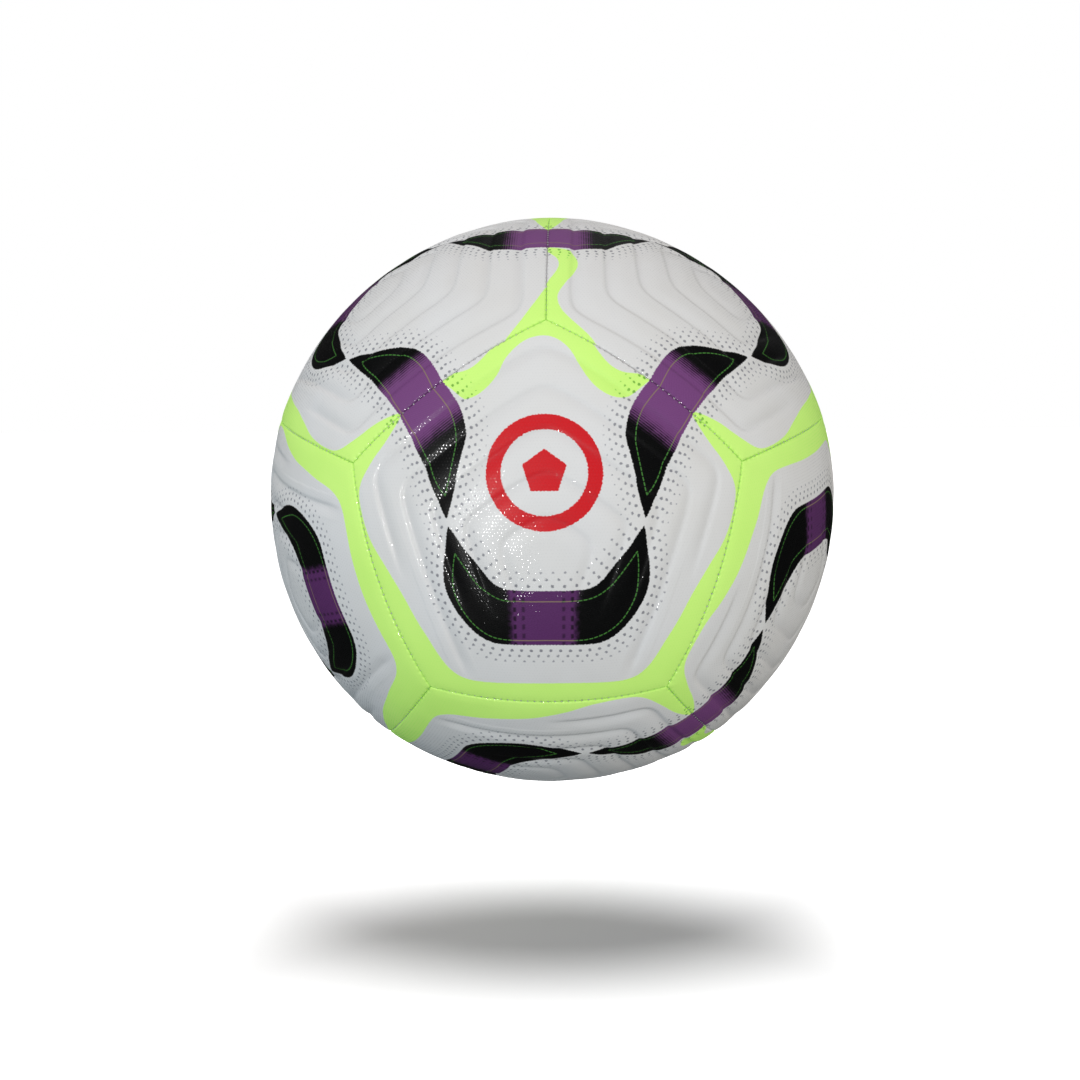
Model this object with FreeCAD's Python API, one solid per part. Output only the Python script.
"""Machine-stitched soccer ball, size 5, twelve pentagonal panels.

Millimetres, +Z up, origin at the centre of the ball. The emblem panel faces -Y,
the valve panel faces +Y, and the valve axis is +Y.

From the outside in: cover panel skin with its edges turned in as seam allowances,
foam pad and lining laminated to each panel, then the inflated bladder.
Neighbouring seam allowances stand back to back and a lockstitch joins them:
a needle thread on one side and a bobbin thread on the other, meeting in the
needle holes. The valve housing is moulded to the inside of the bladder, its neck
stands in the valve hole, and the self-sealing insert is pushed into its socket.

One panel (the front one) and one seam are modelled, then turned into place.
"""
import FreeCAD, Part
import math
import os

V = FreeCAD.Vector
CENTRE = V(0, 0, 0)
VALVE_AXIS = V(0, 1, 0)

# ---- cover panels ----
BALL_R = 110.0          # outside radius, 691 mm circumference
SKIN_T = 1.0            # coated synthetic leather skin
SEAM_GAP = 0.10         # between two seam allowances
ALLOWANCE_R = 104.9     # how far in the seam allowances reach
EDGE_R = 1.5            # rounding of the turned edge
LAYER_GAP = 0.08        # cement line between layers
FOAM_T = 3.1
LINING_T = 0.8
SKIVE = 2.2             # foam and lining stop this far from the seam plane
FOAM_OUT = BALL_R - SKIN_T - LAYER_GAP
FOAM_IN = FOAM_OUT - FOAM_T
LINING_OUT = FOAM_IN - LAYER_GAP
LINING_IN = LINING_OUT - LINING_T
WEDGE_REACH = 150.0     # length of a panel pyramid's corner edges, well past the ball

# ---- stitching ----
STITCH_R = 107.8        # radius of the stitch line
STITCH_PITCHES = 36     # per seam, 2.2 mm pitch at the surface
HOLE_HALF_LENGTH = 0.55   # diamond-shaped needle hole, along the seam
HOLE_HALF_HEIGHT = 0.45   # the same, radially
HOLE_START = 0.4        # the hole cutter starts this far beyond the seam plane
HOLE_CUT = 2.6          # length of the hole cutter
THREAD_R = 0.30         # centre of the strand to its corners
THREAD_LIFT = 0.12      # from the seam allowance to the thread
LOOP_R = 0.22           # THREAD_R where the thread is pulled tight through a hole
LOOP_GAP = 0.07         # from the seam plane to the end of a thread loop
THREAD_OFFSET = SEAM_GAP / 2 + SKIN_T + THREAD_LIFT + THREAD_R   # seam plane to strand centre

# ---- bladder and patch ----
BLADDER_R = 104.45
BLADDER_T = 0.8
PATCH_R = 20.0
PATCH_IN = BLADDER_R + LAYER_GAP
PATCH_OUT = LINING_IN - LAYER_GAP

# ---- valve; heights are distances from the ball centre along the valve axis ----
VALVE_HOLE_R = 4.6
CUT_BOTTOM = 90.0       # span of the cylinders that cut or trim round shells
CUT_TOP = 115.0
PANEL_CUT_BOTTOM = 95.0   # start of the valve hole cutter for the panel layers
OVERCUT = 1.0           # cutters run this far past the surface they open

FLANGE_GAP = 0.03       # bladder to housing flange
FLANGE_OUT = BLADDER_R - BLADDER_T - FLANGE_GAP
FLANGE_R = 17.0
FLANGE_T = 0.9
NECK_R = 4.3
NECK_GAP = 0.05
NECK_TOP = 109.3
NECK_ROOT = 0.3         # the neck starts this far below the flange
NOZZLE_R = 4.0
NOZZLE_END = 93.0
SOCKET_R = 2.9
SEAT_R = 3.7            # recess for the insert head
SEAT = 107.9

INSERT_END = 92.0
INSERT_TOP = 109.2
INSERT_TIP_R = 1.5
INSERT_TAPER_R = 2.1
INSERT_TAPER_H = 3.0    # from the end to the top of the first taper
INSERT_CORE_R = 2.5
INSERT_CORE_START = 4.0   # from the end to the full core radius
INSERT_RIB_R = 2.82
RIB_START = 5.0         # from the end to the first rib
RIB_COUNT = 4
RIB_PITCH = 2.4
RIB_LAND = (0.3, 1.0)   # full-radius part of a rib, measured from its foot
RIB_H = 1.3
HEAD_R = 3.55
HEAD_GAP = 0.03         # seat to head
HEAD_CHAMFER = 0.3
NEEDLE_BORE_R = 1.05    # takes a 2 mm inflating needle
NEEDLE_BORE_END = 97.2
FUNNEL_R = 1.7
FUNNEL_DEPTH = 0.8
SLIT_W = 2.2
SLIT_T = 0.12


# ---- panel layout ----
def ring_direction(y_sign, degrees):
    """Icosahedron direction in the ring about -Y or +Y, its angle taken from +Z towards +X."""
    r5 = 1 / 5 ** 0.5
    angle = math.radians(degrees)
    return V(2 * r5 * math.sin(angle), y_sign * r5, 2 * r5 * math.cos(angle))


PANELS = [
    ("front", V(0, -1, 0)),
    ("upper_right", ring_direction(-1, 36)),
    ("upper_left", ring_direction(-1, 324)),
    ("back_right", ring_direction(1, 72)),
    ("back_left", ring_direction(1, 288)),
    ("bottom", ring_direction(-1, 180)),
    ("left", ring_direction(-1, 252)),
    ("right", ring_direction(-1, 108)),
    ("top", ring_direction(1, 0)),
    ("back", V(0, 1, 0)),
    ("back_lower_left", ring_direction(1, 216)),
    ("back_lower_right", ring_direction(1, 144)),
]
NORMALS = [normal for _, normal in PANELS]
FRONT = NORMALS[0]


def unit(vector):
    result = V(vector)
    result.normalize()
    return result


def across(axis, vector):
    """Unit vector of the part of vector that is square to axis."""
    return unit(vector - axis * vector.dot(axis))


def adjacent(normal, other):
    """Neighbouring normals have the cosine 0.447, all other pairs a negative one."""
    return normal.dot(other) > 0.4


def corners_of(normal):
    """Directions of the five corners of a panel, in order round it."""
    near = [other for other in NORMALS if other != normal and adjacent(normal, other)]
    corners = []
    for i, first in enumerate(near):
        for second in near[i + 1:]:
            if adjacent(first, second):
                corner = normal + first + second
                corners.append(corner.multiply(1 / corner.Length))
    x = across(normal, corners[0])
    y = normal.cross(x)
    return sorted(corners, key=lambda c: math.atan2(c.dot(y), c.dot(x)) % (2 * math.pi))


FRONT_CORNERS = corners_of(FRONT)
FRONT_SIDES = list(zip(FRONT_CORNERS, FRONT_CORNERS[1:] + FRONT_CORNERS[:1]))


def seam_normal(start, end):
    """Normal of the seam plane through two front corners, towards the front panel."""
    normal = unit(start.cross(end))
    return normal if normal.dot(FRONT) > 0 else normal * -1


# ---- placing copies ----
def frame(z, x):
    y = z.cross(x)
    return FreeCAD.Matrix(x.x, y.x, z.x, 0, x.y, y.y, z.y, 0, x.z, y.z, z.z, 0, 0, 0, 0, 1)


def panel_frame(normal):
    return frame(normal, across(normal, corners_of(normal)[0]))


def placed(shape, source, target):
    """Copy of shape, turned from the source frame to the target frame."""
    copy = shape.copy()
    turn = FreeCAD.Placement(target.multiply(source.inverse()))
    copy.Placement = turn.multiply(copy.Placement)
    return copy


# ---- shape helpers ----
def polygon(points):
    return Part.Face(Part.makePolygon(points + [points[0]]))


def solid_from(faces):
    solid = Part.Solid(Part.Shell(faces))
    if solid.Volume < 0:
        solid.reverse()
    return solid


def solid_of(shape):
    """The only solid of a shape; anything else is an error."""
    solids = shape.Solids
    if len(solids) != 1:
        raise RuntimeError("expected one solid, got %d" % len(solids))
    return solids[0]


def wedge(offset):
    """Pentagonal pyramid of the front panel, its sides moved in by offset."""
    apex = FRONT * (offset / seam_normal(*FRONT_SIDES[0]).dot(FRONT))
    base = [apex + corner * WEDGE_REACH for corner in FRONT_CORNERS]
    faces = [polygon([apex, base[k], base[(k + 1) % 5]]) for k in range(5)]
    return solid_from(faces + [polygon(base)])


def ball(radius):
    """Sphere with its poles on the Y axis."""
    sphere = Part.makeSphere(radius)
    sphere.rotate(CENTRE, V(1, 0, 0), 90)
    return sphere


def axis_cylinder(radius, bottom, top):
    return Part.makeCylinder(radius, top - bottom, VALVE_AXIS * bottom, VALVE_AXIS)


def revolve(profile):
    """Turn a closed (radius, height) profile about the valve axis."""
    face = polygon([V(radius, height, 0) for radius, height in profile])
    return face.revolve(CENTRE, VALVE_AXIS, 360)


def save(shape, name):
    shape.exportStep("parts/%s.step" % name)


# ---- stitch positions ----
def stitch_angles():
    span = math.acos(FRONT_CORNERS[0].dot(FRONT_CORNERS[1]))
    return [span * k / STITCH_PITCHES for k in range(1, STITCH_PITCHES)]


def seam_directions(start, end, angle):
    """Radial direction at angle from start towards end, and the direction along the seam."""
    square = across(start, end)

    def direction(t):
        return start * math.cos(t) + square * math.sin(t)

    return direction(angle), direction(angle + math.pi / 2)


# ---- panel layers ----
def needle_hole(start, end, angle):
    inward = seam_normal(start, end)
    radial, tangent = seam_directions(start, end, angle)
    middle = radial * STITCH_R - inward * HOLE_START
    diamond = polygon([middle + tangent * HOLE_HALF_LENGTH, middle + radial * HOLE_HALF_HEIGHT,
                       middle - tangent * HOLE_HALF_LENGTH, middle - radial * HOLE_HALF_HEIGHT])
    return diamond.extrude(inward * HOLE_CUT)


def make_skin():
    block = solid_of(ball(BALL_R).common(wedge(SEAM_GAP / 2)))
    # the outside edges are those lying on the ball's surface
    outside = []
    for edge in block.Edges:
        middle = edge.valueAt((edge.FirstParameter + edge.LastParameter) / 2)
        if abs(middle.Length - BALL_R) < 0.01 and len(edge.Vertexes) == 2:
            outside.append(edge)
    block = solid_of(block.makeFillet(EDGE_R, outside))
    hollow = ball(BALL_R - SKIN_T).common(wedge(SEAM_GAP / 2 + SKIN_T))
    skin = block.cut(hollow).cut(ball(ALLOWANCE_R))
    holes = [needle_hole(start, end, angle)
             for start, end in FRONT_SIDES for angle in stitch_angles()]
    return solid_of(skin.cut(Part.makeCompound(holes)))


def make_layer(inner, outer):
    return solid_of(ball(outer).common(wedge(SKIVE)).cut(ball(inner)))


def save_panels():
    layers = [
        ("cover_skin", make_skin()),
        ("foam_pad", make_layer(FOAM_IN, FOAM_OUT)),
        ("lining", make_layer(LINING_IN, LINING_OUT)),
    ]
    valve_hole = axis_cylinder(VALVE_HOLE_R, PANEL_CUT_BOTTOM, CUT_TOP)
    for name, normal in PANELS:
        for kind, layer in layers:
            shape = placed(layer, panel_frame(FRONT), panel_frame(normal))
            if name == "back":
                shape = solid_of(shape.cut(valve_hole))
            save(shape, "%s_%s" % (kind, name))


# ---- seam threads ----
def square_ring(middle, u, v, radius):
    """Corners of a square section, radius from its middle."""
    return [middle + (u * math.cos(turn) + v * math.sin(turn)) * radius
            for turn in (math.pi * (k + 0.5) / 2 for k in range(4))]


def thread(side_sign):
    """Thread of the front panel's first seam: 1 for the front panel's side, -1 for the other."""
    start, end = FRONT_SIDES[0]
    side = seam_normal(start, end) * side_sign
    stitches = stitch_angles()
    half_pitch = 0.5 * (stitches[1] - stitches[0])

    # the run: a four-sided strand bent at every needle hole
    rings = []
    for angle in [stitches[0] - half_pitch] + stitches + [stitches[-1] + half_pitch]:
        radial, _ = seam_directions(start, end, angle)
        middle = side * THREAD_OFFSET + radial * STITCH_R
        rings.append(square_ring(middle, side, radial, THREAD_R))
    faces = [polygon(rings[0]), polygon(rings[-1])]
    for ring, following in zip(rings, rings[1:]):
        for k in range(4):
            j = (k + 1) % 4
            faces.append(polygon([ring[k], ring[j], following[j], following[k]]))
    run = solid_from(faces)

    # the loops that reach into the needle holes
    loops = []
    for angle in stitches:
        radial, tangent = seam_directions(start, end, angle)
        tip = radial * STITCH_R + side * LOOP_GAP
        section = polygon(square_ring(tip, tangent, radial, LOOP_R))
        loops.append(section.extrude(side * (THREAD_OFFSET - LOOP_GAP)))
    return solid_of(run.fuse(loops))


def seam_group(normal, other):
    """The front half is the front panel and its ring, all facing -Y."""
    if (normal.y < 0) != (other.y < 0):
        return "closing_seam"
    return "front_half" if normal.y < 0 else "back_half"


def save_threads():
    start, end = FRONT_SIDES[0]
    source = frame(seam_normal(start, end), unit(start + end))
    groups = {}
    for i, normal in enumerate(NORMALS):
        for other in NORMALS[i + 1:]:
            if adjacent(normal, other):
                target = frame(unit(normal - other), unit(normal + other))
                groups.setdefault(seam_group(normal, other), []).append(target)
    for label, base in (("needle_thread", thread(1)), ("bobbin_thread", thread(-1))):
        for group, targets in groups.items():
            copies = [placed(base, source, target) for target in targets]
            save(Part.makeCompound(copies), "%s_%s" % (label, group))


# ---- bladder and valve ----
def make_bladder():
    bladder = ball(BLADDER_R).cut(ball(BLADDER_R - BLADDER_T))
    return solid_of(bladder.cut(axis_cylinder(NECK_R + NECK_GAP, CUT_BOTTOM, CUT_TOP)))


def make_housing():
    flange = ball(FLANGE_OUT).cut(ball(FLANGE_OUT - FLANGE_T))
    flange = flange.common(axis_cylinder(FLANGE_R, CUT_BOTTOM, CUT_TOP))
    neck = axis_cylinder(NECK_R, FLANGE_OUT - FLANGE_T - NECK_ROOT, NECK_TOP)
    nozzle = axis_cylinder(NOZZLE_R, NOZZLE_END, FLANGE_OUT)
    housing = flange.fuse([neck, nozzle])
    housing = housing.cut(axis_cylinder(SOCKET_R, NOZZLE_END - OVERCUT, NECK_TOP + OVERCUT))
    housing = housing.cut(axis_cylinder(SEAT_R, SEAT, NECK_TOP + OVERCUT))
    return solid_of(housing)


def make_insert():
    profile = [(0, INSERT_END), (INSERT_TIP_R, INSERT_END),
               (INSERT_TAPER_R, INSERT_END + INSERT_TAPER_H),
               (INSERT_CORE_R, INSERT_END + INSERT_CORE_START)]
    for k in range(RIB_COUNT):
        foot = INSERT_END + RIB_START + k * RIB_PITCH
        profile += [(INSERT_CORE_R, foot),
                    (INSERT_RIB_R, foot + RIB_LAND[0]), (INSERT_RIB_R, foot + RIB_LAND[1]),
                    (INSERT_CORE_R, foot + RIB_H)]
    head = SEAT + HEAD_GAP
    profile += [(INSERT_CORE_R, head), (HEAD_R, head), (HEAD_R, INSERT_TOP - HEAD_CHAMFER),
                (HEAD_R - HEAD_CHAMFER, INSERT_TOP), (0, INSERT_TOP)]
    insert = revolve(profile)
    insert = insert.cut(axis_cylinder(NEEDLE_BORE_R, NEEDLE_BORE_END, INSERT_TOP + OVERCUT))
    funnel_bottom = INSERT_TOP - FUNNEL_DEPTH
    insert = insert.cut(revolve([
        (0, funnel_bottom), (NEEDLE_BORE_R, funnel_bottom), (FUNNEL_R, INSERT_TOP),
        (FUNNEL_R, INSERT_TOP + OVERCUT), (0, INSERT_TOP + OVERCUT)]))
    # the slit runs from the inner end up to the bore
    slit_start = INSERT_END - OVERCUT
    slit = Part.makeBox(SLIT_W, NEEDLE_BORE_END - slit_start, SLIT_T,
                        V(-SLIT_W / 2, slit_start, -SLIT_T / 2))
    return solid_of(insert.cut(slit))


def make_patch():
    """Round patch between bladder and lining, about the valve hole."""
    patch = ball(PATCH_OUT).cut(ball(PATCH_IN))
    patch = patch.common(axis_cylinder(PATCH_R, CUT_BOTTOM, CUT_TOP))
    return solid_of(patch.cut(axis_cylinder(VALVE_HOLE_R, CUT_BOTTOM, CUT_TOP)))


def main():
    os.makedirs("parts", exist_ok=True)
    save_panels()
    save_threads()
    save(make_bladder(), "bladder")
    save(make_housing(), "valve_housing")
    save(make_insert(), "valve_insert")
    save(make_patch(), "valve_patch")


main()
